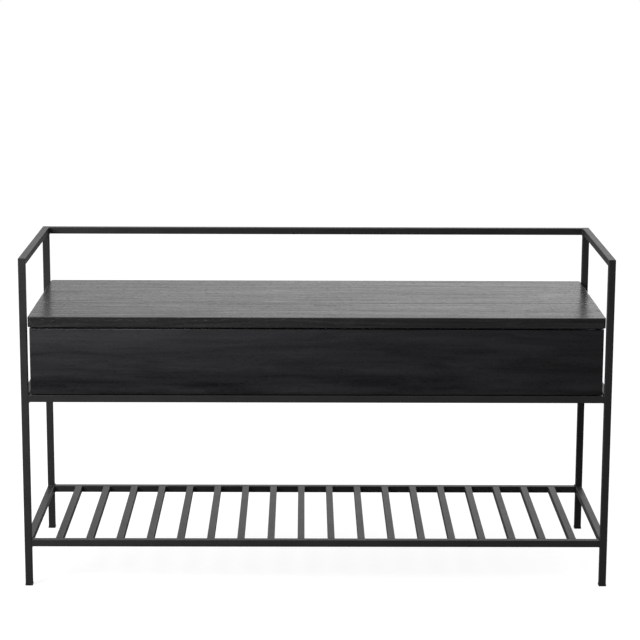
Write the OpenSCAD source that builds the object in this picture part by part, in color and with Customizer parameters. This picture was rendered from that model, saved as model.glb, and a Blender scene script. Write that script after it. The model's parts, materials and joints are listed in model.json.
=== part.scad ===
// Entryway bench: a welded square-tube frame with a slatted shoe shelf, and a storage
// box under a lift-up seat that two sliding stays hold open.
// Millimetres. Origin on the floor under the middle of the bench.
// +X to the sitter's right seen from the front, +Y to the back, +Z up.

/* [Overall] */
// Width over the two end frames
overall_w = 1000; // [700:5:1200]
// Depth from the front posts to the back posts
overall_d = 350; // [290:5:420]
// Height of the arms and of the top rail above the floor
overall_h = 571; // [450:1:700]
// Height of the arms above the seat
arm_rise = 99.5; // [70:0.5:200]
// Height of the shoe shelf, to its top face
shelf_h = 82; // [60:1:120]

/* [Tube] */
// Outside width of the square tube
tube = 12; // [9:0.5:14]
// Wall of the square tube
tube_wall = 1; // [0.8:0.1:1.5]
// Outside radius of the tube's long corners
tube_r = 1; // [0.4:0.1:1.4]
// Number of slats across the shoe shelf
slat_count = 18; // [8:1:18]
// Distance from the inside of the posts to each bearer under the box
bearer_in = 190; // [100:5:250]

/* [Floor glides] */
// Height of the glide's head under the tube
glide_head = 3; // [2:0.5:6]
// How far the glide's head stands out around the tube
glide_lip = 0.5; // [0.2:0.1:1.5]
// Bevel around the glide's head
glide_bevel = 0.6; // [0.2:0.1:1]
// Length of the plug inside the tube
glide_plug = 14; // [8:1:25]
// Gap between the plug and the tube's inside
plug_gap = 0.05; // [0.02:0.01:0.2]

/* [Seat lid] */
// Thickness of the seat board
lid_t = 18; // [15:1:25]
// Gap between the seat and the posts at each end
lid_end_gap = 1.5; // [1:0.5:6]
// How far the seat's back edge stops short of the back posts' rear faces
lid_back_gap = 0.5; // [0:0.5:2]
// Radius of the seat's corners in plan
lid_corner_r = 5; // [3:0.5:15]
// Rounding of the seat's edges
lid_edge_r = 1.5; // [0.5:0.5:4]
// Gap left between the open seat and the top rail
rail_gap = 3.4; // [2:0.1:15]

/* [Storage box] */
// Height of the box's four walls
wall_h = 113.5; // [90:0.5:150]
// Thickness of the box's four walls
panel_t = 15; // [12:1:18]
// Thickness of the box's floor
floor_t = 15; // [12:1:18]
// Shadow gap between the ring and the box's walls; the floor stands on the bearers
wall_gap = 1; // [0.5:0.5:6]
// Gap between the box and the posts at each end
box_end_gap = 4; // [2:0.5:10]
// How far the box's front stands behind the seat's front edge
box_front_in = 3; // [1:0.5:15]
// How far the box's back stands in front of the frame's rear
box_back_in = 9; // [9:0.5:14]
// Depth of the rebates that lock walls and floor together
rebate = 5; // [3:1:7]

/* [Felt pads] */
// Thickness of the pads under the seat
pad_t = 2.5; // [2.5:0.1:4]
// Diameter of the pads
pad_d = 9; // [6:0.5:9]

/* [Hinges] */
// Distance from the inside of the box's side walls to each hinge
hinge_in = 140; // [80:5:220]
// Length of a hinge
hinge_l = 50; // [40:5:80]
// Thickness of a hinge's leaves
leaf_t = 1.2; // [1:0.1:1.2]
// Outside diameter of the hinge's knuckles
knuckle_d = 6; // [5:0.5:6]
// Diameter of the hinge pin
hinge_pin_d = 3; // [2:0.5:3.5]
// Radial clearance of the pin in the turning knuckles
pin_clear = 0.05; // [0.02:0.01:0.1]
// Gap between neighbouring knuckles
knuckle_gap = 0.2; // [0.1:0.1:0.5]
// Room left around the knuckles in the seat board
knuckle_room = 1; // [0.5:0.5:2]

/* [Lid stays] */
// Gap between the low end of the stay's track and the box's floor
track_floor_gap = 17.5; // [3:0.5:30]
// Gap between the low end of the stay's track and the box's front wall
track_front_gap = 30; // [10:1:70]
// Gap at rest between the lid pivot's rivet and the track
rivet_gap = 1.8; // [0.5:0.1:4]
// Width of the arm and of the track
stay_w = 12; // [10:1:14]
// Thickness of the stay's sheet steel
stay_t = 2; // [1.5:0.5:2.5]
// Diameter of the stay's two pins
stay_pin_d = 5; // [4:0.5:6]
// Gap between the stay's neighbouring sheets
stay_gap = 0.3; // [0.2:0.1:0.6]
// Distance from the side wall to the back of the track's plate
track_stand = 4; // [3.5:0.5:6]
// Thickness of a rivet's head
rivet_head = 1.2; // [0.8:0.2:2]
// How far a rivet's head stands out around its pin
rivet_lip = 1.5; // [1:0.1:2]
// Length of the feet at the track's two ends
track_foot = 10; // [8:1:16]
// Length of the bracket's foot on the lid
bracket_l = 36; // [30:1:50]
// Width of the bracket's foot on the lid
bracket_foot = 16; // [14:1:20]

/* [Screws] */
// Diameter of the small screws
screw_d = 3; // [2.5:0.5:3.5]
// Length of the small screws
screw_l = 12; // [9:1:14]
// Diameter of the screws that hold the box down
bolt_d = 4; // [3:0.5:5]
// Distance of the hold-down screws from the ring's front and back rails
bolt_in = 45; // [30:1:80]
// How far the hold-down screws reach into the box's floor
bolt_bite = 8; // [6:0.5:8]

/* [Hidden] */
$fn = 48;
half_w = overall_w / 2;
half_d = overall_d / 2;
post_x = half_w - tube / 2;
post_y = half_d - tube / 2;
inner_x = half_w - tube;
inner_y = half_d - tube;
bore = tube - 2 * tube_wall;
slat_pitch = 2 * post_x / (slat_count + 1);
eps = 1;

bearer_x = inner_x - bearer_in;

// The seat stands under the arms, the box hangs from the seat, and the ring is under the box.
lid_x = inner_x - lid_end_gap;
lid_back = half_d - lid_back_gap;
lid_z = overall_h - arm_rise - lid_t;
rim_z = lid_z - pad_t;
box_z = rim_z - wall_h;
ring_h = box_z - wall_gap;
floor_top = ring_h + floor_t;
box_x = inner_x - box_end_gap;
wall_in = box_x - panel_t;
box_front_y = -half_d + box_front_in;
box_back_y = half_d - box_back_in;

knuckle_r = knuckle_d / 2;
hinge_y = box_back_y + knuckle_r + knuckle_room;
hinge_z = (rim_z + lid_z) / 2;
hinge_x = wall_in - hinge_in;
knuckle_count = 5;
knuckle_l = hinge_l / knuckle_count;
leaf_front = box_back_y - panel_t;
leaf_screws = [-hinge_l / 3, 0, hinge_l / 3];

// The seat opens until its top face comes within rail_gap of the top rail's front lower edge.
rail_up = overall_h - tube - hinge_z;
rail_in = hinge_y - inner_y;
lid_top_up = lid_z + lid_t - hinge_z;
lid_open = acos((lid_top_up + rail_gap) / norm([rail_up, rail_in])) - atan2(rail_in, rail_up);

// A stay is a folding triangle with two equal sides: hinge axis to pivot, and pivot to slot pin.
// The slot's line points at the hinge axis, so the arm turns twice as far as the lid.
stay_pin_r = stay_pin_d / 2;
head_r = stay_pin_r + rivet_lip;
slot_half = stay_pin_r + stay_gap;
track_over = head_r + stay_gap + track_foot;
track_run = hinge_y - box_front_y - panel_t - track_front_gap;
track_drop = hinge_z - floor_top - stay_w / 2 - track_floor_gap;
track_slope = atan2(track_drop, track_run);
slot_far = norm([track_run, track_drop]) - track_over;
pivot_off = stay_w / 2 + head_r + rivet_gap;
stay_fold = atan2(pivot_off, slot_far / 2);
stay_r = norm([pivot_off, slot_far / 2]);
slot_near = 2 * stay_r * cos(stay_fold + lid_open);
pivot_dip = track_slope - stay_fold;
arm_tilt = track_slope + stay_fold;
pivot_y = hinge_y - stay_r * cos(pivot_dip);
pivot_z = hinge_z - stay_r * sin(pivot_dip);
track_in = wall_in - track_stand - stay_t;
arm_in = track_in - stay_gap - stay_t;
ear_in = arm_in - stay_gap - stay_t;

screw_head_d = 2 * screw_d;
screw_head = 0.4 * screw_d;
bolt_head_d = 2 * bolt_d;
bolt_head = 0.6 * bolt_d;
bolt_y = inner_y - bolt_in;

sides = [["left", -1], ["right", 1]];
ends = [["front", -1], ["back", 1]];

function two(k) = str(k < 10 ? "0" : "", k);

// ---- shared shapes ----

// A centred rectangle with corners of radius r.
module rounded_rect(w, d, r) {
    square([w - 2 * r, d], center = true);
    square([w, d - 2 * r], center = true);
    for (x = [-1, 1])
        for (y = [-1, 1])
            translate([x * (w / 2 - r), y * (d / 2 - r)])
                circle(r);
}

// The tube's section: a rounded square around a square bore.
module tube_section() {
    difference() {
        rounded_rect(tube, tube, tube_r);
        square(bore, center = true);
    }
}

// A tube of length l that runs along +Z from the origin.
module tube_z(l) {
    linear_extrude(l)
        tube_section();
}

// A tube along X, centred on x = 0.
module tube_x(l) {
    translate([-l / 2, 0, 0])
        rotate([90, 0, 90])
            tube_z(l);
}

// A tube along Y, centred on y = 0.
module tube_y(l) {
    translate([0, l / 2, 0])
        rotate([90, 0, 0])
            tube_z(l);
}

// A box with every edge rounded by r and its upright corners by plan_r.
module eased_board(w, d, h, r, plan_r) {
    intersection() {
        linear_extrude(h, center = true)
            rounded_rect(w, d, plan_r);
        rotate([90, 0, 0])
            linear_extrude(d + eps, center = true)
                rounded_rect(w, h, r);
        rotate([90, 0, 90])
            linear_extrude(w + eps, center = true)
                rounded_rect(d, h, r);
    }
}

// A small countersunk screw: its head's top at the origin, its shank along -Z.
module screw() {
    translate([0, 0, -screw_head])
        cylinder(h = screw_head, d1 = screw_d, d2 = screw_head_d);
    pilot(screw_d, screw_l);
}

// A round hole or shank of length l, from the origin along -Z.
module pilot(d, l) {
    translate([0, 0, -l])
        cylinder(h = l, d = d);
}

// Runs its children at the left and at the right, mirrored.
module side(sx) {
    mirror([sx < 0 ? 1 : 0, 0, 0])
        children();
}

// ---- steel frame ----

// An upright tube, mitred at the top into the arm.
module post(ex, sx) {
    color("#262527")
        side(sx)
            intersection() {
                translate([post_x, ex * post_y, glide_head])
                    tube_z(overall_h - glide_head);
                translate([half_w + eps, 0, 0])
                    rotate([90, 0, -90])
                        linear_extrude(tube + 2 * eps)
                            polygon([
                                [-ex * (half_d + eps), 0],
                                [-ex * inner_y, 0],
                                [-ex * inner_y, overall_h - tube],
                                [-ex * half_d, overall_h],
                                [-ex * (half_d + eps), overall_h + eps]
                            ]);
            }
}

// The arm over one end frame, mitred into both posts.
module arm(sx) {
    color("#262527")
        side(sx)
            intersection() {
                translate([post_x, 0, overall_h - tube / 2])
                    tube_y(overall_d);
                translate([half_w + eps, 0, 0])
                    rotate([90, 0, -90])
                        linear_extrude(tube + 2 * eps)
                            polygon([
                                [-half_d - eps, overall_h + eps],
                                [-inner_y, overall_h - tube],
                                [inner_y, overall_h - tube],
                                [half_d + eps, overall_h + eps]
                            ]);
            }
}

// A rail along the bench between two posts.
module long_rail(ex, top) {
    color("#262527")
        translate([0, ex * post_y, top - tube / 2])
            tube_x(2 * inner_x);
}

// A rail from the front to the back of the bench.
module cross_rail(x, top) {
    color("#262527")
        translate([x, 0, top - tube / 2])
            tube_y(2 * inner_y);
}

// A bearer under the box, with a hole down through it for each hold-down screw.
module box_bearer(sx) {
    difference() {
        cross_rail(sx * bearer_x, ring_h);
        for (ex = [-1, 1])
            translate([sx * bearer_x, ex * bolt_y, ring_h - tube - eps])
                cylinder(h = tube + 2 * eps, d = bolt_d);
    }
}

// A slat of the shoe shelf; slats share the width evenly.
module shelf_slat(k) {
    cross_rail(k * slat_pitch - post_x, shelf_h);
}

// A moulded foot: a bevelled head under the post and a plug up inside it.
module floor_glide(ex, sx) {
    head_w = tube + 2 * glide_lip;
    plug_w = bore - 2 * plug_gap;
    color("#151515")
        translate([sx * post_x, ex * post_y, 0]) {
            intersection() {
                linear_extrude(glide_head)
                    rounded_rect(head_w, head_w, tube_r + glide_lip);
                bevelled_block(head_w, glide_head, glide_bevel);
            }
            linear_extrude(glide_head + glide_plug)
                square(plug_w, center = true);
        }
}

// A square block whose lower edges are bevelled by b: the overlap of two bevelled bars.
module bevelled_block(w, h, b) {
    intersection() {
        bevelled_bar(w, h, b);
        rotate([0, 0, 90])
            bevelled_bar(w, h, b);
    }
}

// A bar along Y whose lower edges are bevelled by b.
module bevelled_bar(w, h, b) {
    rotate([90, 0, 0])
        linear_extrude(w + eps, center = true)
            polygon([
                [-w / 2 + b, 0],
                [w / 2 - b, 0],
                [w / 2, b],
                [w / 2, h],
                [-w / 2, h],
                [-w / 2, b]
            ]);
}

// ---- storage box ----

// The front or the back wall, with rebates for the side walls and for the floor.
module box_long_wall(ex) {
    y0 = ex < 0 ? box_front_y : box_back_y - panel_t;
    y_in = ex < 0 ? box_front_y + panel_t - rebate : box_back_y - panel_t;
    color("#2b292b")
        difference() {
            translate([-box_x, y0, box_z])
                cube([2 * box_x, panel_t, wall_h]);
            for (sx = [0, 1])
                mirror([sx, 0, 0])
                    translate([box_x - panel_t, y_in - (ex < 0 ? 0 : eps), box_z - eps])
                        cube([panel_t + eps, rebate + eps, wall_h + 2 * eps]);
            translate([-wall_in - eps, y_in - (ex < 0 ? 0 : eps), box_z - eps])
                cube([2 * (wall_in + eps), rebate + eps, floor_top - box_z + eps]);
            hinge_screw_places(rim_z + leaf_t)
                pilot(screw_d, screw_l);
        }
}

// A side wall, let into the front and back walls and rebated for the floor.
module box_side(sx) {
    color("#2b292b")
        side(sx)
            difference() {
                translate([wall_in, box_front_y + panel_t - rebate, box_z])
                    cube([panel_t, box_back_y - box_front_y - 2 * (panel_t - rebate), wall_h]);
                translate([wall_in - eps, -half_d, box_z - eps])
                    cube([rebate + eps, overall_d, floor_top - box_z + eps]);
                track_screw_places()
                    pilot(screw_d, screw_l);
            }
}

// The floor, let into the walls' rebates, that stands on the bearers and is screwed to them.
module box_floor() {
    w = 2 * (wall_in + rebate);
    d = box_back_y - box_front_y - 2 * (panel_t - rebate);
    color("#2b292b")
        difference() {
            translate([-w / 2, box_front_y + panel_t - rebate, ring_h])
                cube([w, d, floor_t]);
            bolt_places()
                translate([0, 0, -eps])
                    cylinder(h = bolt_bite + eps, d = bolt_d);
        }
}

// Where the hold-down screws stand, at the bearers' top faces.
module bolt_places() {
    for (x = [-bearer_x, bearer_x])
        for (y = [-bolt_y, bolt_y])
            translate([x, y, ring_h])
                children();
}

// The screws that come up through the bearers into the box's floor.
module box_bolts() {
    color("#4a4a4c")
        bolt_places() {
            translate([0, 0, -tube])
                cylinder(h = tube + bolt_bite, d = bolt_d);
            translate([0, 0, -tube - bolt_head])
                cylinder(h = bolt_head, d = bolt_head_d);
        }
}

// Round pads on the box's rim, where the seat rests.
module felt_pads() {
    rim_y = box_front_y + panel_t / 2;
    rim_x = box_x - panel_t / 2;
    color("#1b1b1b") {
        for (x = [-rim_x, 0, rim_x])
            translate([x, rim_y, rim_z])
                cylinder(h = pad_t, d = pad_d);
        for (x = [-rim_x, rim_x])
            translate([x, 0, rim_z])
                cylinder(h = pad_t, d = pad_d);
    }
}

// ---- seat lid ----

// The seat board: eased all round, with a notch over each hinge's knuckles.
module seat_lid() {
    depth = lid_back + half_d;
    notch_in = knuckle_r + knuckle_room;
    color("#3a383b")
        difference() {
            translate([0, lid_back - depth / 2, lid_z + lid_t / 2])
                eased_board(2 * lid_x, depth, lid_t, lid_edge_r, lid_corner_r);
            for (x = [-hinge_x, hinge_x])
                translate([x - hinge_l / 2 - knuckle_room, hinge_y - notch_in, lid_z - eps])
                    cube([
                        hinge_l + 2 * knuckle_room,
                        half_d,
                        hinge_z + notch_in - lid_z + eps
                    ]);
            lid_screw_places()
                pilot(screw_d, screw_l);
        }
}

// ---- hinges ----

// One leaf, lying at z = 0 upwards, with its knuckles around the axis at z = pin_z.
// first is 0 or 1, the first knuckle that it carries, and hole_d is its bore.
module hinge_leaf(first, pin_z, hole_d) {
    plate_back = hinge_y - knuckle_r - 2 * knuckle_gap;
    difference() {
        union() {
            translate([-hinge_l / 2, leaf_front, 0])
                cube([hinge_l, plate_back - leaf_front, leaf_t]);
            for (k = [first:2:knuckle_count - 1]) {
                translate([k * knuckle_l - hinge_l / 2 + knuckle_gap / 2, 0, 0]) {
                    translate([0, plate_back - eps, 0])
                        cube([knuckle_l - knuckle_gap, hinge_y - plate_back + eps, leaf_t]);
                    translate([0, hinge_y, pin_z])
                        rotate([0, 90, 0])
                            cylinder(h = knuckle_l - knuckle_gap, r = knuckle_r);
                }
            }
        }
        translate([-hinge_l, hinge_y, pin_z])
            rotate([0, 90, 0])
                cylinder(h = 2 * hinge_l, d = hole_d);
    }
}

// The leaf on the box's rim, with three knuckles that grip the pin.
module hinge_box_leaf(sx) {
    color("#8d8d90")
        difference() {
            translate([sx * hinge_x, 0, rim_z])
                hinge_leaf(0, hinge_z - rim_z, hinge_pin_d);
            hinge_screw_places(rim_z + leaf_t)
                screw();
        }
}

// The leaf under the seat, with two knuckles that turn on the pin.
module hinge_lid_leaf(sx) {
    color("#8d8d90")
        difference() {
            translate([sx * hinge_x, 0, lid_z])
                mirror([0, 0, 1])
                    hinge_leaf(1, lid_z - hinge_z, hinge_pin_d + 2 * pin_clear);
            hinge_screw_places(lid_z - leaf_t)
                mirror([0, 0, 1])
                    screw();
        }
}

// The two pins, each as long as its hinge.
module hinge_pins() {
    color("#9a9a9d")
        for (x = [-hinge_x, hinge_x])
            translate([x - hinge_l / 2, hinge_y, hinge_z])
                rotate([0, 90, 0])
                    cylinder(h = hinge_l, d = hinge_pin_d);
}

// Where the hinge screws stand, at height z.
module hinge_screw_places(z) {
    for (x = [-hinge_x, hinge_x])
        for (dx = leaf_screws)
            translate([x + dx, box_back_y - panel_t / 2, z])
                children();
}

// ---- lid stays ----

// Moves its children into the track's own line: x runs down the slot from the hinge axis,
// y is square to it, z points from the side wall to the middle of the bench.
module track_line() {
    translate([wall_in, hinge_y, hinge_z])
        rotate([track_slope, 0, 0])
            rotate([0, -90, 0])
                rotate([0, 0, -90])
                    children();
}

// The middles of the track's two feet, where its screws go.
module track_feet() {
    for (x = [slot_near - track_over, slot_far + track_over - track_foot])
        translate([x + track_foot / 2, 0, 0])
            children();
}

// A slotted plate that stands off the side wall on its two feet.
module stay_track(sx) {
    x0 = slot_near - track_over;
    x1 = slot_far + track_over;
    color("#8d8d90")
        side(sx)
            difference() {
                track_line() {
                    translate([x0, -stay_w / 2, track_stand])
                        cube([x1 - x0, stay_w, stay_t]);
                    track_feet()
                        translate([-track_foot / 2, -stay_w / 2, 0])
                            cube([track_foot, stay_w, track_stand + stay_t]);
                }
                track_line() {
                    translate([slot_near, -slot_half, track_stand - eps])
                        cube([slot_far - slot_near, 2 * slot_half, stay_t + 2 * eps]);
                    for (x = [slot_near, slot_far])
                        translate([x, 0, track_stand - eps])
                            cylinder(h = stay_t + 2 * eps, r = slot_half);
                }
                track_screw_places()
                    screw();
            }
}

// Where the track's screws stand, on its face: -Z of each place points into the side wall.
module track_screw_places() {
    track_line()
        track_feet()
            translate([0, 0, track_stand + stay_t])
                children();
}

// A flat arm, pivoted on the bracket at one end, with a headed pin in the slot at the other.
module stay_arm(sx) {
    color("#9a9a9d")
        side(sx)
            difference() {
                arm_line() {
                    linear_extrude(stay_t) {
                        translate([0, -stay_w / 2])
                            square([stay_r, stay_w]);
                        for (x = [0, stay_r])
                            translate([x, 0])
                                circle(d = stay_w);
                    }
                    translate([stay_r, 0, 0])
                        mirror([0, 0, 1]) {
                            cylinder(h = 2 * stay_gap + stay_t, r = stay_pin_r);
                            translate([0, 0, 2 * stay_gap + stay_t])
                                cylinder(h = rivet_head, r = head_r);
                        }
                }
                arm_line()
                    translate([0, 0, -eps])
                        cylinder(h = stay_t + 2 * eps, r = stay_pin_r + pin_clear);
            }
}

// Moves its children into the arm's own line at rest: x runs from the pivot to the slot pin,
// z points from the side wall to the middle of the bench, and z = 0 is the face at the track.
module arm_line() {
    translate([arm_in + stay_t, pivot_y, pivot_z])
        rotate([arm_tilt, 0, 0])
            rotate([0, -90, 0])
                rotate([0, 0, -90])
                    children();
}

// The bracket under the seat: a foot on the board and an ear down to the arm's pivot.
module stay_bracket(sx) {
    ear_h = lid_z - pivot_z;
    color("#8d8d90")
        side(sx)
            difference() {
                union() {
                    translate([ear_in - bracket_foot + stay_t, pivot_y - bracket_l / 2, lid_z - stay_t])
                        cube([bracket_foot, bracket_l, stay_t]);
                    translate([ear_in, pivot_y, 0])
                        rotate([90, 0, 90])
                            linear_extrude(stay_t) {
                                polygon([
                                    [-bracket_l / 2, lid_z],
                                    [-stay_w / 2, pivot_z],
                                    [stay_w / 2, pivot_z],
                                    [bracket_l / 2, lid_z]
                                ]);
                                translate([0, pivot_z])
                                    circle(d = stay_w);
                            }
                    translate([ear_in, pivot_y, pivot_z])
                        rotate([0, 90, 0]) {
                            cylinder(h = 2 * stay_t + 2 * stay_gap, r = stay_pin_r);
                            translate([0, 0, 2 * stay_t + 2 * stay_gap])
                                cylinder(h = rivet_head, r = head_r);
                        }
                }
                bracket_screw_places()
                    screw();
            }
}

// Where the right-hand bracket's screws stand, under its foot: -Z of each points up.
module bracket_screw_places() {
    for (dy = [-bracket_l / 3, bracket_l / 3])
        translate([ear_in - bracket_foot / 2, pivot_y + dy, lid_z - stay_t])
            mirror([0, 0, 1])
                children();
}

// ---- screws ----

// Where every screw in the seat's underside stands: -Z of each place points up.
module lid_screw_places() {
    hinge_screw_places(lid_z - leaf_t)
        mirror([0, 0, 1])
            children();
    for (sx = [-1, 1])
        side(sx)
            bracket_screw_places()
                children();
}

// Hinge screws in the box's back wall and track screws in its side walls.
module box_screws() {
    color("#a5a5a8") {
        hinge_screw_places(rim_z + leaf_t)
            screw();
        for (sx = [-1, 1])
            side(sx)
                track_screw_places()
                    screw();
    }
}

// Hinge screws and bracket screws, up into the seat.
module lid_screws() {
    color("#a5a5a8")
        lid_screw_places()
            screw();
}

// ---- nodes ----

for (e = ends)
    for (s = sides) {
        post(e[1], s[1]);
        floor_glide(e[1], s[1]);
    }
for (e = ends) {
    long_rail(e[1], ring_h);
    long_rail(e[1], shelf_h);
    box_long_wall(e[1]);
}
for (s = sides) {
    arm(s[1]);
    cross_rail(s[1] * post_x, ring_h);
    box_bearer(s[1]);
    cross_rail(s[1] * post_x, shelf_h);
    box_side(s[1]);
    hinge_box_leaf(s[1]);
    hinge_lid_leaf(s[1]);
    stay_track(s[1]);
    stay_arm(s[1]);
    stay_bracket(s[1]);
}
for (k = [1:slat_count])
    shelf_slat(k);
long_rail(1, overall_h);  // top_rail_back
box_floor();
box_bolts();
felt_pads();
seat_lid();
hinge_pins();
box_screws();
lid_screws();
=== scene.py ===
# %% [markdown]
# # An entryway bench with a lift-up seat
#
# The bench is a welded frame of thin square tube. It carries a slatted shoe shelf near the
# floor and a storage box under a wooden seat that lifts.

# %% Load the frame
import json
import math

import bmesh
import bpy
import numpy as np
from mathutils import Matrix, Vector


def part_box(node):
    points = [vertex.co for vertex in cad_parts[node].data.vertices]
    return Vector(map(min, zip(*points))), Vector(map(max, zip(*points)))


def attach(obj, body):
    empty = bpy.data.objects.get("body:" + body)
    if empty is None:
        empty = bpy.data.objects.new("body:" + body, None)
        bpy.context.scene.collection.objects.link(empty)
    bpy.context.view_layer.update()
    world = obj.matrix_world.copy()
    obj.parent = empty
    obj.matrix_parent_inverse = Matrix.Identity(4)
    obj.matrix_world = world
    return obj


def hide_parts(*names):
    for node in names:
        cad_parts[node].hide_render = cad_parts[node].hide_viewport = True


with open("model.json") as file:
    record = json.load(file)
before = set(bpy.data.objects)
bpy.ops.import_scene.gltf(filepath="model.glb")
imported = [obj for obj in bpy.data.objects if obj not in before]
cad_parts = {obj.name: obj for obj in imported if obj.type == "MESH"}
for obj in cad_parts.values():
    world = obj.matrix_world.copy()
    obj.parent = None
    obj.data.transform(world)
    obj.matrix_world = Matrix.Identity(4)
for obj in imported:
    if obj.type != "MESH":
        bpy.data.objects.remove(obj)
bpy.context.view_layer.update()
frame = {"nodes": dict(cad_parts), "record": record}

# %% [markdown]
# ## The camera
#
# The bench is seen from the front, a little above seat height, through a long lens from well
# back, so its lines stay nearly parallel. The camera is placed by its position and three
# angles. Its axes are worked out as three vectors, because that keeps the small roll exact.

# %% Camera
CAMERA_AT = (-0.0224, -3.6704, 1.1717)
CAMERA_PITCH = math.radians(11.389)
CAMERA_YAW = math.radians(0.4495)
CAMERA_ROLL = math.radians(0.228)
CAMERA_LENS = 119.4
SENSOR_WIDTH = 36.0
CLIP_END = 50.0


def camera_axes(yaw, pitch, roll):
    """Right, up and back unit vectors of a camera that looks along +Y, turned by yaw to the
    right, tipped down by pitch, then rolled about its own line of sight."""
    forward = np.array([
        math.sin(yaw) * math.cos(pitch), math.cos(yaw) * math.cos(pitch), -math.sin(pitch),
    ])
    level = np.array([math.cos(yaw), -math.sin(yaw), 0.0])
    upright = np.cross(level, forward)
    right = math.cos(roll) * level + math.sin(roll) * upright
    up = math.cos(roll) * upright - math.sin(roll) * level
    return right, up, -forward


def place(thing, axes, at):
    """Puts a camera or a lamp at a point, with its own X, Y and Z along three vectors."""
    matrix = np.eye(4)
    matrix[:3, 0], matrix[:3, 1], matrix[:3, 2] = axes
    matrix[:3, 3] = at
    thing.matrix_world = Matrix(matrix.tolist())
    bpy.context.scene.collection.objects.link(thing)
    return thing


lens = bpy.data.cameras.new("bench_camera")
lens.lens = CAMERA_LENS
lens.sensor_width = SENSOR_WIDTH
lens.clip_end = CLIP_END
camera = place(bpy.data.objects.new("bench_camera", lens),
               camera_axes(CAMERA_YAW, CAMERA_PITCH, CAMERA_ROLL), CAMERA_AT)
bpy.context.scene.camera = camera
print("camera lens", lens.lens, "mm")

# %% [markdown]
# ## Wiring nodes
#
# Materials are trees of nodes. Three small helpers keep the trees readable: one adds a node
# and fills its inputs, one does a sum, and one stretches a range of values to another range.

# %% Node helpers
def add(tree, kind, inputs=None, **settings):
    """A new node: settings are its options, and inputs maps a socket's name or number to a
    value or to the socket that feeds it."""
    node = tree.nodes.new(kind)
    for name, value in settings.items():
        setattr(node, name, value)
    for name, value in (inputs or {}).items():
        if isinstance(value, bpy.types.NodeSocket):
            tree.links.new(value, node.inputs[name])
        else:
            node.inputs[name].default_value = value
    return node


def sum_of(tree, operation, *terms):
    """One Math node over one to three numbers or sockets."""
    return add(tree, "ShaderNodeMath", dict(enumerate(terms)), operation=operation).outputs[0]


def ranged(tree, value, low, high, to_low=0.0, to_high=1.0):
    """A value's range low..high carried to to_low..to_high, and held at those ends."""
    node = add(tree, "ShaderNodeMapRange", {
        "Value": value, "From Min": low, "From Max": high,
        "To Min": to_low, "To Max": to_high,
    }, interpolation_type="SMOOTHSTEP")
    return node.outputs["Result"]


def vector_sum(tree, operation, first, second):
    """One Vector Math node over two vectors or sockets."""
    node = add(tree, "ShaderNodeVectorMath", {0: first, 1: second}, operation=operation)
    return node.outputs["Vector"]


def blend_colors(tree, amount, first, second):
    """The first colour where amount is 0 and the second where it is 1."""
    node = add(tree, "ShaderNodeMix", {"Factor": amount}, data_type="RGBA")
    for socket, value in ((node.inputs[6], first), (node.inputs[7], second)):
        if isinstance(value, bpy.types.NodeSocket):
            tree.links.new(value, socket)
        else:
            socket.default_value = (*value, 1.0)
    return node.outputs[2]


def noise(tree, vector, length, detail=2.0, roughness=0.5):
    """Noise whose lumps are length metres long: one number, or one for each axis."""
    if isinstance(length, tuple):
        scale = tuple(1.0 / size for size in length)
        vector = vector_sum(tree, "MULTIPLY", vector, scale)
        length = 1.0
    node = add(tree, "ShaderNodeTexNoise", {
        "Vector": vector, "Scale": 1.0 / length, "Detail": detail, "Roughness": roughness,
    })
    return node.outputs["Fac"]


print("node helpers ready")

# %% [markdown]
# ## Light
#
# The room is a white studio. The surround behind the bench is bright, so the satin seat, seen
# at a low angle, picks up its glow. The surround in front is dim and the floor gives little
# light back, so the upright faces stay black. Rays that go straight to the camera see plain
# white. The surround is a little brighter behind at the right. One soft box hangs overhead and
# a second stands at the left front: it grades the front faces from light to dark.

# %% The surround
scene = bpy.context.scene
scene.view_settings.view_transform = "Standard"
scene.view_settings.look = "None"

SURROUND_FRONT = 0.06
SURROUND_BACK = 0.89
SURROUND_RIGHT = 0.27
RIGHT_TURN = 0.35
FRONT_END, BACK_END = -0.75, 0.3


def studio_world():
    """Strength by direction: it rises smoothly from front to back, and to the right behind."""
    world = bpy.data.worlds.new("studio")
    world.use_nodes = True
    tree = world.node_tree
    tree.nodes.clear()
    way = add(tree, "ShaderNodeSeparateXYZ", {
        0: add(tree, "ShaderNodeTexCoord").outputs["Generated"]})
    behind = ranged(tree, way.outputs["Y"], FRONT_END, BACK_END)
    rise = SURROUND_BACK - SURROUND_FRONT
    lift = ranged(tree, way.outputs["X"], -RIGHT_TURN, RIGHT_TURN,
                  rise - SURROUND_RIGHT, rise + SURROUND_RIGHT)
    strength = sum_of(tree, "MULTIPLY_ADD", behind, lift, SURROUND_FRONT)
    glow = add(tree, "ShaderNodeBackground", {"Color": (1, 1, 1, 1), "Strength": strength})
    white = add(tree, "ShaderNodeBackground", {"Color": (1, 1, 1, 1), "Strength": 1.0})
    seen = add(tree, "ShaderNodeLightPath").outputs["Is Camera Ray"]
    mixed = add(tree, "ShaderNodeMixShader", {
        0: seen, 1: glow.outputs[0], 2: white.outputs[0]})
    add(tree, "ShaderNodeOutputWorld", {"Surface": mixed.outputs[0]})
    scene.world = world
    return world


print("surround:", studio_world().name)


# %% Soft boxes
def soft_box(name, at, look_at, size, watts):
    """A square area lamp at one point that faces another."""
    data = bpy.data.lights.new(name, "AREA")
    data.shape = "RECTANGLE"
    data.size, data.size_y = size
    data.energy = watts
    back = np.array(at, float) - np.array(look_at, float)
    back /= np.linalg.norm(back)
    side = np.cross((0.0, 1.0, 0.0) if abs(back[2]) > 0.9 else (0.0, 0.0, 1.0), back)
    side /= np.linalg.norm(side)
    lamp = place(bpy.data.objects.new(name, data), (side, np.cross(back, side), back), at)
    lamp.visible_camera = False
    return lamp


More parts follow.
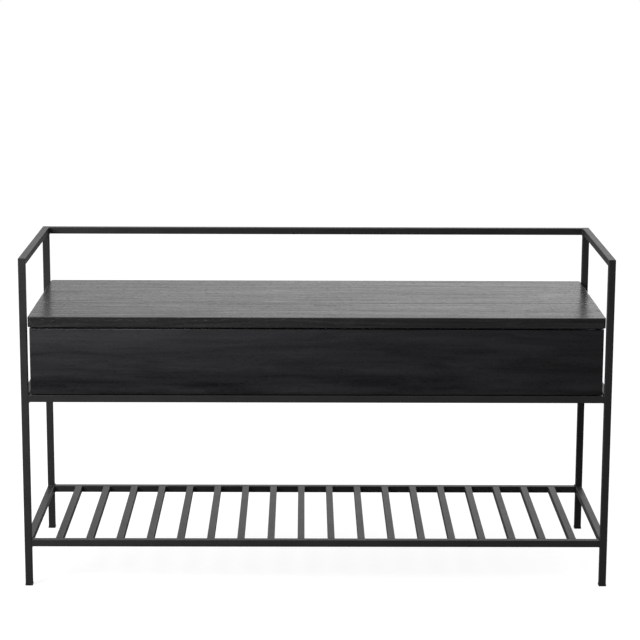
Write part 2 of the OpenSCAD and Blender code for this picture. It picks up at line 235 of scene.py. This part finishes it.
top_box = soft_box("top_box", (0.0, 0.2, 2.4), (0.0, 0.0, 0.3), (2.4, 1.6), 10.0)
key_box = soft_box("key_box", (-1.6, -1.4, 1.3), (-0.2, 0.0, 0.3), (0.9, 0.9), 40.0)
print("soft boxes:", top_box.name, key_box.name)


# %% The floor
FLOOR_HALF = 12.0
FLOOR_GLOW = 0.86
FLOOR_PAINT = (0.3, 0.3, 0.3, 1.0)
FLOOR_DIM = (0.24, 0.24, 0.24, 1.0)


def studio_floor():
    """A flat square under the bench. The camera sees it as white as the surround, with only a
    faint shadow; every other ray finds it a dim grey."""
    mesh = bpy.data.meshes.new("studio_floor")
    corners = np.array([(-1, -1, 0), (1, -1, 0), (1, 1, 0), (-1, 1, 0)]) * FLOOR_HALF
    mesh.from_pydata(corners.tolist(), [], [(0, 1, 2, 3)])
    floor = bpy.data.objects.new("studio_floor", mesh)
    scene.collection.objects.link(floor)
    paint = bpy.data.materials.new("studio_white")
    paint.use_nodes = True
    tree = paint.node_tree
    shader = tree.nodes["Principled BSDF"]
    shader.inputs["Base Color"].default_value = FLOOR_PAINT
    shader.inputs["Roughness"].default_value = 0.9
    shader.inputs["Specular IOR Level"].default_value = 0.0
    shader.inputs["Emission Color"].default_value = (1.0, 1.0, 1.0, 1.0)
    shader.inputs["Emission Strength"].default_value = FLOOR_GLOW
    dim = add(tree, "ShaderNodeBsdfDiffuse", {"Color": FLOOR_DIM})
    seen = add(tree, "ShaderNodeLightPath").outputs["Is Camera Ray"]
    mixed = add(tree, "ShaderNodeMixShader", {
        0: seen, 1: dim.outputs[0], 2: shader.outputs[0]})
    tree.links.new(mixed.outputs[0], tree.nodes["Material Output"].inputs["Surface"])
    mesh.materials.append(paint)
    return floor


print("stage:", studio_floor().name)

# %% [markdown]
# ## Effects that several finishes share
#
# A node group is a small machine with named sockets. Wood grain is used by the seat and by
# the box, and the rubbed edge, which also paints a highlight on the edges, by nearly everything,
# so each is built once. A group gives out only masks and heights, and each finish decides what
# to do with them.

# %% Node group helper
def group(name, inputs, outputs):
    """An empty node group: inputs maps a name to a socket kind and a starting value."""
    tree = bpy.data.node_groups.new(name, "ShaderNodeTree")
    for title, (kind, value) in inputs.items():
        socket = tree.interface.new_socket(title, in_out="INPUT", socket_type=kind)
        if value is not None:
            socket.default_value = value
    for title in outputs:
        tree.interface.new_socket(title, in_out="OUTPUT", socket_type="NodeSocketFloat")
    return tree, tree.nodes.new("NodeGroupInput").outputs


VECTOR, NUMBER = ("NodeSocketVector", None), "NodeSocketFloat"
print("group helper ready")

# %% [markdown]
# ### Open grain
#
# A board is cut from a log, so its pattern is the log's: rings around a centre line that runs
# nearly along the board. The rings show as long stripes. Fibres are noise stretched along the
# board, pores are short dark dashes, and worked-in stain leaves soft cloudy patches.

# %% Open grain group
RING_STEP = 0.007
PITH_LIFT = 0.11 - 0.4
PITH_SLANT_Y, PITH_SLANT_Z = 0.012, -0.016
BOARD_SHIFT = (3.17, 0.219, 0.037)
SWAY_SIZE, SWAY = (0.35, 0.05, 0.05), 0.030
STREAK_SIZE = (0.32, 0.016, 0.016)
FIBRE_SIZE = (0.06, 0.0016, 0.0016)
CLOUD_SIZE = (0.06, 0.022, 0.022)
PORE_SIZE = (0.007, 0.0006, 0.0006)
RING_SHARE, STREAK_SHARE, FIBRE_SHARE, TONE_START = 0.22, 1.5, 0.45, -0.58


def open_grain():
    """Distance from a slightly tilted centre line, divided by the ring step, gives the rings;
    stretched noises give fibres, pores and clouds. X is along the board."""
    tree, given = group("open_grain", {"Vector": VECTOR, "Shift": (NUMBER, 0.0)},
                        ("Tone", "Pores", "Cloud", "Height"))
    shift = add(tree, "ShaderNodeCombineXYZ", {
        axis: sum_of(tree, "MULTIPLY", given["Shift"], step)
        for axis, step in enumerate(BOARD_SHIFT)}).outputs[0]
    at = vector_sum(tree, "ADD", given["Vector"], shift)
    sway = sum_of(tree, "MULTIPLY_ADD", noise(tree, at, SWAY_SIZE), SWAY, -SWAY / 2)
    bent = vector_sum(tree, "ADD", at, add(tree, "ShaderNodeCombineXYZ", {
        1: sway, 2: sway}).outputs[0])
    axes = add(tree, "ShaderNodeSeparateXYZ", {0: bent}).outputs
    across = sum_of(tree, "MULTIPLY_ADD", axes["X"], PITH_SLANT_Y, axes["Y"])
    down = sum_of(tree, "ADD", sum_of(tree, "MULTIPLY_ADD", axes["X"], PITH_SLANT_Z, axes["Z"]),
                  PITH_LIFT)
    away = sum_of(tree, "SQRT", sum_of(tree, "ADD", sum_of(tree, "MULTIPLY", across, across),
                                       sum_of(tree, "MULTIPLY", down, down)))
    ring = sum_of(tree, "FRACT", sum_of(tree, "MULTIPLY", away, 1.0 / RING_STEP))
    rings = ranged(tree, sum_of(tree, "PINGPONG", ring, 0.5), 0.05, 0.45)
    streaks = noise(tree, bent, STREAK_SIZE, 3.0, 0.6)
    fibres = noise(tree, bent, FIBRE_SIZE, 2.0)
    cloud = ranged(tree, noise(tree, at, CLOUD_SIZE, 3.0, 0.6), 0.55, 0.80)
    pores = ranged(tree, noise(tree, bent, PORE_SIZE, 0.0), 0.64, 0.74)
    tone = sum_of(tree, "MULTIPLY_ADD", rings, RING_SHARE,
                  sum_of(tree, "MULTIPLY_ADD", streaks, STREAK_SHARE,
                         sum_of(tree, "MULTIPLY_ADD", fibres, FIBRE_SHARE, TONE_START)))
    height = sum_of(tree, "MULTIPLY_ADD", pores, -1.0,
                    sum_of(tree, "MULTIPLY_ADD", rings, 0.12,
                           sum_of(tree, "MULTIPLY", fibres, 0.5)))
    clamped = add(tree, "ShaderNodeClamp", {"Value": tone}).outputs[0]
    add(tree, "NodeGroupOutput", {
        "Tone": clamped, "Pores": pores, "Cloud": cloud, "Height": height})
    return tree


GRAIN = open_grain()
print("group:", GRAIN.name, len(GRAIN.nodes), "nodes")

# %% [markdown]
# ### Rubbed edges and painted edge highlights
#
# Hands, shoes and cleaning wear the highest places first. The Bevel node gives the direction
# a slightly rounded edge would have. Where that differs from the real direction there is an
# edge, and a patchy noise keeps the wear from being even. The finishes also use this mask as a
# painted highlight: they lighten the edges with it.

# %% Rubbed edge group, also a painted edge highlight
def rubbed_edge_and_highlight():
    """One minus the cosine between the face and its rounded copy, spread to 0..1, times a
    patchy noise."""
    tree, given = group("rubbed_edge_and_highlight", {"Vector": VECTOR, "Radius": (NUMBER, 0.001)}, ("Rub_and_highlight",))
    soft = add(tree, "ShaderNodeBevel", {"Radius": given["Radius"]}, samples=4)
    face = add(tree, "ShaderNodeNewGeometry").outputs["Normal"]
    alike = add(tree, "ShaderNodeVectorMath", {0: soft.outputs[0], 1: face},
                operation="DOT_PRODUCT").outputs["Value"]
    edge = ranged(tree, alike, 0.995, 0.90)
    patch = ranged(tree, noise(tree, given["Vector"], 0.03, 4.0, 0.65), 0.38, 0.68)
    # This mask lightens edges in the finishes: partly rubbed wear, partly a painted highlight.
    add(tree, "NodeGroupOutput", {"Rub_and_highlight": sum_of(tree, "MULTIPLY", edge, patch)})
    return tree


RUB_AND_HIGHLIGHT = rubbed_edge_and_highlight()
print("group:", RUB_AND_HIGHLIGHT.name, len(RUB_AND_HIGHLIGHT.nodes), "nodes")


# %% Using a group in a finish
def finish(name):
    """A new material with its tree, its shader and the object coordinates."""
    material = bpy.data.materials.new(name)
    material.use_nodes = True
    tree = material.node_tree
    at = add(tree, "ShaderNodeTexCoord").outputs["Object"]
    return material, tree, tree.nodes["Principled BSDF"], at


def placed(tree, group_tree, inputs):
    """A node group set in a finish, with its own values."""
    node = tree.nodes.new("ShaderNodeGroup")
    node.node_tree = group_tree
    for name, value in inputs.items():
        if isinstance(value, bpy.types.NodeSocket):
            tree.links.new(value, node.inputs[name])
        else:
            node.inputs[name].default_value = value
    return node.outputs


def bumped(tree, shader, height, distance, strength=1.0):
    """Turns a height into a tilt of the surface, distance metres deep at most."""
    bump = add(tree, "ShaderNodeBump", {
        "Height": height, "Distance": distance, "Strength": strength})
    tree.links.new(bump.outputs["Normal"], shader.inputs["Normal"])


print("finish helpers ready")

# %% [markdown]
# ## The finishes
#
# ### Black-stained boards
#
# The seat and the box are boards stained black and lacquered satin. The stain hides colour
# but not relief: the grain still shows in how the surface shines. So the grain drives the
# roughness most, the colour only a little, and the pores are cut in as fine bumps. The boards
# of the box are the same wood, with their grain along each board.

# %% Board finish
SEAT_DARK, SEAT_LIGHT = (0.0085, 0.0080, 0.0088), (0.028, 0.0262, 0.0285)
PORE_FILL = (0.003, 0.003, 0.003)
WORN_WOOD = (0.07, 0.062, 0.058)
SEAT_SATIN, BOX_SATIN = 0.25, 0.46
BOARD_EDGE, BOARD_RELIEF = 0.0012, 0.00012
BOX_DARK, BOX_LIGHT = (0.0042, 0.0034, 0.0047), (0.0165, 0.0144, 0.0180)


def board_finish(name, dark, light, satin, turn=0.0):
    """Stained wood whose grain runs along X, or along Y with a quarter turn."""
    material, tree, shader, at = finish(name)
    along = add(tree, "ShaderNodeMapping", {"Vector": at, "Rotation": (0.0, 0.0, turn)})
    board = add(tree, "ShaderNodeAttribute", attribute_name="board_number")
    grain = placed(tree, GRAIN, {"Vector": along.outputs[0], "Shift": board.outputs["Fac"]})
    rub_and_highlight = placed(tree, RUB_AND_HIGHLIGHT, {"Vector": at, "Radius": BOARD_EDGE})["Rub_and_highlight"]
    stain = blend_colors(tree, grain["Tone"], dark, light)
    smoky = blend_colors(tree, sum_of(tree, "MULTIPLY", grain["Cloud"], 0.5),
                         stain, tuple(2.0 * c for c in light))
    filled = blend_colors(tree, sum_of(tree, "MULTIPLY", grain["Pores"], 0.6),
                          smoky, PORE_FILL)
    # The shared edge mask lightens the board's edges: rubbed lacquer, and partly a painted
    # highlight, as on the steel.
    worn_and_highlit = blend_colors(tree, sum_of(tree, "MULTIPLY", rub_and_highlight, 0.35), filled, WORN_WOOD)
    tree.links.new(worn_and_highlit, shader.inputs["Base Color"])
    smooth = sum_of(tree, "MULTIPLY_ADD", grain["Tone"], -0.16, satin + 0.08)
    misted = sum_of(tree, "MULTIPLY_ADD", grain["Pores"], 0.18,
                    sum_of(tree, "MULTIPLY_ADD", grain["Cloud"], -0.10, smooth))
    tree.links.new(misted, shader.inputs["Roughness"])
    lustre = sum_of(tree, "MULTIPLY_ADD", grain["Tone"], 0.5,
                    sum_of(tree, "MULTIPLY_ADD", grain["Pores"], -0.25, 0.27))
    tree.links.new(lustre, shader.inputs["Specular IOR Level"])
    shader.inputs["IOR"].default_value = 1.5
    bumped(tree, shader, grain["Height"], BOARD_RELIEF, 0.8)
    return material


finishes = {
    "seat_board": board_finish("seat_board", SEAT_DARK, SEAT_LIGHT, SEAT_SATIN),
    "box_board": board_finish("box_board", BOX_DARK, BOX_LIGHT, BOX_SATIN),
    "box_board_ends": board_finish("box_board_ends", BOX_DARK, BOX_LIGHT, BOX_SATIN, math.pi / 2),
}
print("boards:", list(finishes))

# %% [markdown]
# ### Powder coat
#
# Powder is sprayed on dry and baked, and it sets with a fine skin like orange peel. A broad
# slow wave sits under a fine one, and a few specks of dust are baked in. The edges are made
# smoother and painted lighter: partly rubbed wear, partly a painted highlight.

# %% Powder coat finish
COAT_DARK, COAT_LIGHT = (0.014, 0.014, 0.0145), (0.028, 0.0278, 0.0282)
# Edge colour: partly rubbed wear, partly a painted highlight along the edges.
WORN_AND_HIGHLIT_COAT = (0.075, 0.074, 0.075)
SKIN_SIZE, WAVE_SIZE, SPECK_SIZE, COAT_CLOUD = 0.0011, 0.009, 0.0024, 0.05
COAT_EDGE, COAT_RELIEF = 0.0013, 0.00006


def powder_finish():
    """Two noises make the skin's height, a third changes how satin it is."""
    material, tree, shader, at = finish("black_steel")
    skin = noise(tree, at, SKIN_SIZE, 1.0)
    wave = noise(tree, at, WAVE_SIZE, 2.0)
    cloud = noise(tree, at, COAT_CLOUD, 3.0, 0.6)
    speck = ranged(tree, noise(tree, at, SPECK_SIZE, 0.0), 0.74, 0.80)
    rub_and_highlight = placed(tree, RUB_AND_HIGHLIGHT, {"Vector": at, "Radius": COAT_EDGE})["Rub_and_highlight"]
    coat = blend_colors(tree, cloud, COAT_DARK, COAT_LIGHT)
    # Painted highlight and wear: the edges are lightened towards the edge colour.
    worn_and_highlit = blend_colors(tree, sum_of(tree, "MULTIPLY", rub_and_highlight, 0.4), coat, WORN_AND_HIGHLIT_COAT)
    tree.links.new(worn_and_highlit, shader.inputs["Base Color"])
    satin = sum_of(tree, "MULTIPLY_ADD", cloud, 0.16, 0.36)
    polished = sum_of(tree, "MULTIPLY_ADD", rub_and_highlight, -0.12, satin)
    tree.links.new(polished, shader.inputs["Roughness"])
    height = sum_of(tree, "MULTIPLY_ADD", speck, 0.8,
                    sum_of(tree, "MULTIPLY_ADD", wave, 1.2, skin))
    bumped(tree, shader, height, COAT_RELIEF, 0.7)
    return material


finishes["black_steel"] = powder_finish()
print("powder coat ready")

# %% [markdown]
# ### Fittings, felt and feet
#
# The hinges, stays and screws are zinc-plated steel: bright but brushed, with a faint bloom.
# The felt pads are pressed fibres with no shine. The feet are moulded plastic with a sanded
# mould texture.

# %% Zinc finish
PLATE_DARK, PLATE_LIGHT = (0.42, 0.43, 0.45), (0.62, 0.63, 0.64)
BLOOM_SIZE, BRUSH_DEPTH = 0.012, 0.00003


def zinc_finish(name, low, high, along):
    """Metal with fine brushed lines in one direction and a cloudy bloom."""
    material, tree, shader, at = finish(name)
    lines = noise(tree, at, along, 2.0)
    bloom = noise(tree, at, BLOOM_SIZE, 4.0, 0.65)
    plate = blend_colors(tree, bloom, PLATE_DARK, PLATE_LIGHT)
    tree.links.new(plate, shader.inputs["Base Color"])
    shader.inputs["Metallic"].default_value = 1.0
    dull = sum_of(tree, "MULTIPLY_ADD", bloom, high - low, low)
    tree.links.new(sum_of(tree, "MULTIPLY_ADD", lines, 0.12, dull),
                   shader.inputs["Roughness"])
    bumped(tree, shader, lines, BRUSH_DEPTH, 0.6)
    return material


finishes["zinc_steel"] = zinc_finish("zinc_steel", 0.24, 0.44, (0.0003, 0.02, 0.0006))
finishes["screw_steel"] = zinc_finish("screw_steel", 0.18, 0.36, (0.0006, 0.0006, 0.0006))
print("zinc finishes ready")


# %% Felt and plastic finishes
FELT_DARK, FELT_LIGHT = (0.006, 0.006, 0.006), (0.035, 0.034, 0.033)
FIBRE_LONG, FIBRE_THIN, FIBRE_HIGH = 0.0014, 0.00018, 0.0004
PLASTIC_DARK, PLASTIC_SCUFFED = (0.010, 0.010, 0.010), (0.035, 0.034, 0.033)
PIT_SIZE, SCUFF_SIZE = 0.0005, (0.004, 0.0007, 0.002)


def felt_finish():
    """Matted fibres: fine stretched noises crossing each other, with a soft sheen."""
    material, tree, shader, at = finish("felt")
    one = noise(tree, at, (FIBRE_LONG, FIBRE_THIN, FIBRE_HIGH), 2.0)
    two = noise(tree, at, (FIBRE_THIN, FIBRE_LONG, FIBRE_HIGH), 2.0)
    fibres = sum_of(tree, "MAXIMUM", one, two)
    tree.links.new(blend_colors(tree, ranged(tree, fibres, 0.4, 0.75),
                                FELT_DARK, FELT_LIGHT),
                   shader.inputs["Base Color"])
    tree.links.new(sum_of(tree, "MULTIPLY_ADD", fibres, 0.1, 0.88),
                   shader.inputs["Roughness"])
    shader.inputs["Sheen Weight"].default_value = 0.3
    bumped(tree, shader, fibres, 0.0002)
    return material


def plastic_finish():
    """A sanded mould's fine pits, and scuffs where the foot has been slid."""
    material, tree, shader, at = finish("glide_plastic")
    pits = noise(tree, at, PIT_SIZE, 1.0)
    scuffs = ranged(tree, noise(tree, at, SCUFF_SIZE, 3.0), 0.52, 0.75)
    tree.links.new(blend_colors(tree, scuffs, PLASTIC_DARK, PLASTIC_SCUFFED),
                   shader.inputs["Base Color"])
    tree.links.new(sum_of(tree, "MULTIPLY_ADD", scuffs, 0.18,
                          sum_of(tree, "MULTIPLY_ADD", pits, 0.2, 0.38)),
                   shader.inputs["Roughness"])
    bumped(tree, shader, pits, 0.00005)
    return material


finishes["felt"] = felt_finish()
finishes["glide_plastic"] = plastic_finish()
print("finishes:", sorted(finishes))

# %% Finishes on the engineered parts
slots = {row["node"]: row["material_slot"] for row in frame["record"]["subparts"]}
for node, obj in frame["nodes"].items():
    for index in range(len(obj.material_slots)):
        obj.material_slots[index].material = finishes[slots[node]]
print("parts finished:", len(slots))

# %% [markdown]
# ## The seat's two planks
#
# The seat is glued up from two planks, a narrow one at the front and a wide one behind it.
# The joint is only a hairline, but it can be felt, so each plank is its own closed surface.
# A plank is a ring of points round its outline, repeated at several heights: the rings draw
# in where an edge is eased. Over the hinge knuckles the lower rings step inwards, which cuts
# the two notches under the back edge.

# %% Outline of a plank
CORNER_STEPS = 6
TINY = 0.00005


def outline(low, high, radii, back_stops, inset):
    """Rings round a rectangle: each corner is a quarter circle, and back_stops are extra
    points along the back side at fixed x. inset is how far each point of each ring is drawn
    in, one row for each ring. A corner's radius shrinks as its ring is drawn in."""
    turns = np.linspace(0.0, math.pi / 2, CORNER_STEPS + 1)
    corner = np.repeat(np.arange(4), CORNER_STEPS + 1)
    angle = np.tile(turns, 4) + corner * math.pi / 2
    side = np.array([(1, 1), (-1, 1), (-1, -1), (1, -1)])[corner]
    edge = np.where(side > 0, np.array(high), np.array(low))
    stops = np.asarray(back_stops, float)
    split = CORNER_STEPS + 1
    drawn = np.delete(inset, np.arange(split, split + len(stops)), axis=1)
    round_off = np.maximum(np.asarray(radii)[corner] - drawn, TINY)
    x = edge[:, 0] - side[:, 0] * (drawn + round_off) + round_off * np.cos(angle)
    y = edge[:, 1] - side[:, 1] * (drawn + round_off) + round_off * np.sin(angle)
    along = np.broadcast_to(stops, (len(inset), len(stops)))
    x = np.concatenate([x[:, :split], along, x[:, split:]], axis=1)
    y = np.concatenate([y[:, :split], high[1] - inset[:, split:split + len(stops)],
                        y[:, split:]], axis=1)
    return x, y


print("outline helper ready")


# %% Closed surfaces from rings
def ring_faces(rings, around, first=0):
    """Quads between neighbouring rings of the same number of points, going round."""
    ring, step = np.meshgrid(np.arange(rings - 1), np.arange(around), indexing="ij")
    after = (step + 1) % around
    a, b = ring * around + step, ring * around + after
    return np.stack([a, a + around, b + around, b], axis=-1).reshape(-1, 4) + first


def piece(name, points, faces, material, body, smooth=None):
    """A mesh object from arrays, finished and tied to a body."""
    mesh = bpy.data.meshes.new(name)
    mesh.from_pydata(points.reshape(-1, 3).tolist(), [], faces)
    mesh.materials.append(material)
    soft = np.ones(len(faces), bool) if smooth is None else smooth
    mesh.polygons.foreach_set("use_smooth", soft)
    mesh.update()
    made = bpy.data.objects.new(name, mesh)
    scene.collection.objects.link(made)
    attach(made, body)
    return made


def number_boards(made, number):
    """Writes one number on every point, so that each board gets its own stretch of grain."""
    mark = made.data.attributes.new("board_number", "FLOAT", "POINT")
    mark.data.foreach_set("value", np.full(len(made.data.vertices), number, np.float32))


print("surface helpers ready")

# %% Rings of a plank
SEAT_LOW, SEAT_HIGH = (np.array(corner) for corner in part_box("seat_lid"))
KNUCKLES = [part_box("hinge_box_leaf_left"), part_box("hinge_box_leaf_right")]
JOINT_Y = -0.045
OUTER_ROUND, JOINT_ROUND = 0.005, 0.0003
OUTER_EASE, JOINT_EASE = 0.0015, 0.0003
EASE_STEPS = 6
FLAT_RING = 0.0035
NOTCH_ROOM = 0.001
NOTCH_DEEP = 0.0085
NOTCH_HIGH = 0.00275
NOTCH_WALL = 0.0003


def plank(name, y_low, y_high, ease_front, ease_back, round_front, round_back, notches):
    """Rings from the top face, over the eased top edge, down the side, round the eased lower
    edge and in under the plank; notches are the x spans where the lower back edge is cut."""
    stops, cut = [], []
    for start, end in sorted(notches, reverse=True):
        stops += [end + NOTCH_WALL, end, start, start - NOTCH_WALL]
        cut += [False, True, True, False]
    quarter = np.linspace(0.0, math.pi / 2, EASE_STEPS + 1)
    split = CORNER_STEPS + 1
    blend = np.linspace(0.0, 1.0, split)
    ease = np.concatenate([
        OUTER_EASE + (ease_back - OUTER_EASE) * blend, np.full(len(stops), ease_back),
        ease_back + (OUTER_EASE - ease_back) * blend,
        OUTER_EASE + (ease_front - OUTER_EASE) * blend,
        ease_front + (OUTER_EASE - ease_front) * blend,
    ])
    notched = np.zeros(len(ease), bool)
    notched[split:split + len(stops)] = cut
    top, bottom = SEAT_HIGH[2], SEAT_LOW[2]
    curve = quarter[:, None]
    inset = np.concatenate([
        np.full((1, len(ease)), FLAT_RING), ease * (1 - np.sin(curve)),
        ease * (1 - np.cos(curve)), np.full((1, len(ease)), FLAT_RING)])
    z = np.concatenate([
        np.full((1, len(ease)), top), top - ease * (1 - np.cos(curve)),
        bottom + ease * (1 - np.sin(curve)), np.full((1, len(ease)), bottom)])
    last = len(inset) - 1
    share = np.linspace(0.0, 1.0, EASE_STEPS)[:, None]
    rows = np.arange(EASE_STEPS + 2, last - 1)
    inset[np.ix_(rows, notched)] = NOTCH_DEEP * share
    z[np.ix_(rows, notched)] = bottom + NOTCH_HIGH
    inset[last - 1, notched] = NOTCH_DEEP
    inset[last, notched] = NOTCH_DEEP + FLAT_RING
    radii = (round_back, round_back, round_front, round_front)
    x, y = outline((SEAT_LOW[0], y_low), (SEAT_HIGH[0], y_high), radii, stops, inset)
    points = np.stack([x, y, z], axis=-1)
    around = points.shape[1]
    quads = ring_faces(len(inset), around)
    caps = [np.arange(around).tolist(), (np.arange(around)[::-1] + last * around).tolist()]
    smooth = np.concatenate([np.ones(len(quads), bool), [False, False]])
    steep = np.tile(notched | np.roll(notched, -1), len(inset) - 1)
    smooth[:len(quads)] &= ~steep
    return piece(name, points, quads.tolist() + caps, finishes["seat_board"], "seat",
                 smooth)


hinge_notches = [(low[0] - NOTCH_ROOM, high[0] + NOTCH_ROOM) for low, high in KNUCKLES]
front_plank = plank("seat_plank_front", SEAT_LOW[1], JOINT_Y, OUTER_EASE, JOINT_EASE,
                    OUTER_ROUND, JOINT_ROUND, [])
back_plank = plank("seat_plank_back", JOINT_Y, SEAT_HIGH[1], JOINT_EASE, OUTER_EASE,
                   JOINT_ROUND, OUTER_ROUND, hinge_notches)
number_boards(front_plank, 1.0)
number_boards(back_plank, 2.0)
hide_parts("seat_lid")
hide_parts("seat_lid")
for made in (front_plank, back_plank):
    print(made.name, len(made.data.polygons), "faces")

# %% [markdown]
# ## The box's walls
#
# The walls are machined boards with rebates, and their edges are sanded by hand. The
# engineered boards have the exact rebates, so a merged copy of each keeps them, and a Bevel
# modifier eases only the long outside edges. The eased edges catch the thin line of light
# that a sharp computer edge never shows.

# %% Eased copies of the walls
WALL_EASE = 0.0012
LONG_EDGE = 0.06
SAME_POINT = 1e-6
FLAT_ANGLE = math.radians(1.0)
CORNER_ANGLE = 1.0
BEVEL_STEPS = 4


def eased_copy(node, number, material):
    """The node's shape with merged points and its long outside edges marked for the bevel."""
    shape = bmesh.new()
    shape.from_mesh(frame["nodes"][node].data)
    bmesh.ops.remove_doubles(shape, verts=shape.verts, dist=SAME_POINT)
    bmesh.ops.dissolve_limit(shape, angle_limit=FLAT_ANGLE, verts=shape.verts,
                             edges=shape.edges)
    weight = shape.edges.layers.float.new("bevel_weight_edge")
    for edge in shape.edges:
        sharp = edge.is_convex and edge.calc_face_angle(0) > CORNER_ANGLE
        if sharp and edge.calc_length() > LONG_EDGE:
            edge[weight] = 1.0
    for face in shape.faces:
        face.smooth = True
    mesh = bpy.data.meshes.new(node + "_eased")
    shape.to_mesh(mesh)
    shape.free()
    mesh.materials.clear()
    mesh.materials.append(material)
    made = bpy.data.objects.new(node + "_eased", mesh)
    scene.collection.objects.link(made)
    bevel = made.modifiers.new("eased_edges", "BEVEL")
    bevel.limit_method = "WEIGHT"
    bevel.width = WALL_EASE
    bevel.segments = BEVEL_STEPS
    bevel.harden_normals = True
    number_boards(made, number)
    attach(made, "frame")
    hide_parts(node)
    return made


for number, (node, kind) in enumerate({
        "box_front": "box_board", "box_back": "box_board",
        "box_side_left": "box_board_ends", "box_side_right": "box_board_ends"}.items(), 3):
    made = eased_copy(node, float(number), finishes[kind])
    print(made.name, len(made.data.polygons), "faces before the bevel")

# %% [markdown]
# ## Weld beads
#
# Where one tube butts against another, the faces that lie flush are welded and ground flat,
# and the inside corners keep a small bead. A bead is a thin rippled roll laid along the
# corner, half of it buried in the steel. All beads are worked out at once, as one array.

# %% Corners that carry a bead
BEAD_SIZE = 0.0019


def corner_lines():
    """For every tube's end: the middle of each inside corner, the direction of the corner,
    and the two directions that lead away from it over the two faces."""
    rows = []

    def weld(node, way, sides, back=0.0):
        low, high = (np.array(point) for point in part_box(node))
        middle, half = (low + high) / 2, (high - low) / 2
        for end in (-1.0, 1.0):
            for side in sides:
                reach = end * way * (half @ np.abs(way) - back)
                corner = middle + reach + side * (half @ np.abs(side))
                line = np.cross(way, side)
                rows.append((corner, line * (half @ np.abs(line)), side, -end * way))

    x, y, z = np.eye(3)
    tube = (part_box("post_front_left")[1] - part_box("post_front_left")[0])[0]
    for level in ("ring", "shelf"):
        for end in ("front", "back"):
            weld(level + "_rail_" + end, x, (z, -z))
        for end in ("left", "right"):
            weld(level + "_rail_" + end, y, (z, -z))
    for node in sorted(frame["nodes"]):
        if node.startswith(("shelf_slat", "box_bearer")):
            weld(node, y, (x, -x))
    weld("top_rail_back", x, (-z, -y))
    weld("arm_left", y, (-z,), tube)
    weld("arm_right", y, (-z,), tube)
    return tuple(np.array(column) for column in zip(*rows))


at, along, side_way, over_way = corner_lines()
print("beads:", len(at))

# %% The beads themselves
BEAD_RINGS, BEAD_AROUND = 29, 8
RIPPLES = 7
RIPPLE_DEPTH = 0.11
BEAD_REACH = 0.97
END_POWER, END_CLOSE = 10, 0.002
SPREAD_SEED, SPREAD_LOW, SPREAD_HIGH = 5, 0.85, 1.15


def bead_points():
    """Along each corner runs t from -1 to 1; at each t a circle of radius R(t) is drawn in the
    plane of the two faces' directions. R has ripples and closes smoothly at both ends."""
    t = np.linspace(-1.0, 1.0, BEAD_RINGS)
    angle = np.linspace(0.0, 2 * math.pi, BEAD_AROUND, endpoint=False)
    ripple = 1.0 + RIPPLE_DEPTH * np.cos(math.pi * RIPPLES * t)
    radius = BEAD_SIZE * ripple * np.sqrt(np.maximum(1.0 - t ** END_POWER, END_CLOSE))
    middle = at[:, None] + along[:, None] * t[None, :, None] * BEAD_REACH
    circle = (np.cos(angle)[:, None] * side_way[:, None, None]
              + np.sin(angle)[:, None] * over_way[:, None, None])
    spread = np.random.default_rng(SPREAD_SEED).uniform(
        SPREAD_LOW, SPREAD_HIGH, (len(at), 1, 1, 1))
    return middle[:, :, None] + radius[None, :, None, None] * spread * circle


def bead_faces(points, count):
    """Quads round each bead, turned to face outwards, and a cap at each end."""
    block = BEAD_RINGS * BEAD_AROUND
    ring = np.arange(BEAD_AROUND)
    turned = np.einsum("ij,ij->i", np.cross(side_way, over_way), along) > 0
    faces = []
    for number in range(count):
        quads = ring_faces(BEAD_RINGS, BEAD_AROUND, number * block)
        caps = np.stack([ring, ring[::-1] + (BEAD_RINGS - 1) * BEAD_AROUND]) + number * block
        if turned[number]:
            quads, caps = quads[:, ::-1], caps[:, ::-1]
        faces += quads.tolist() + caps.tolist()
    return faces


points = bead_points()
beads = piece("weld_beads", points, bead_faces(points, len(at)), finishes["black_steel"],
              "frame")
print(beads.name, len(beads.data.polygons), "faces")
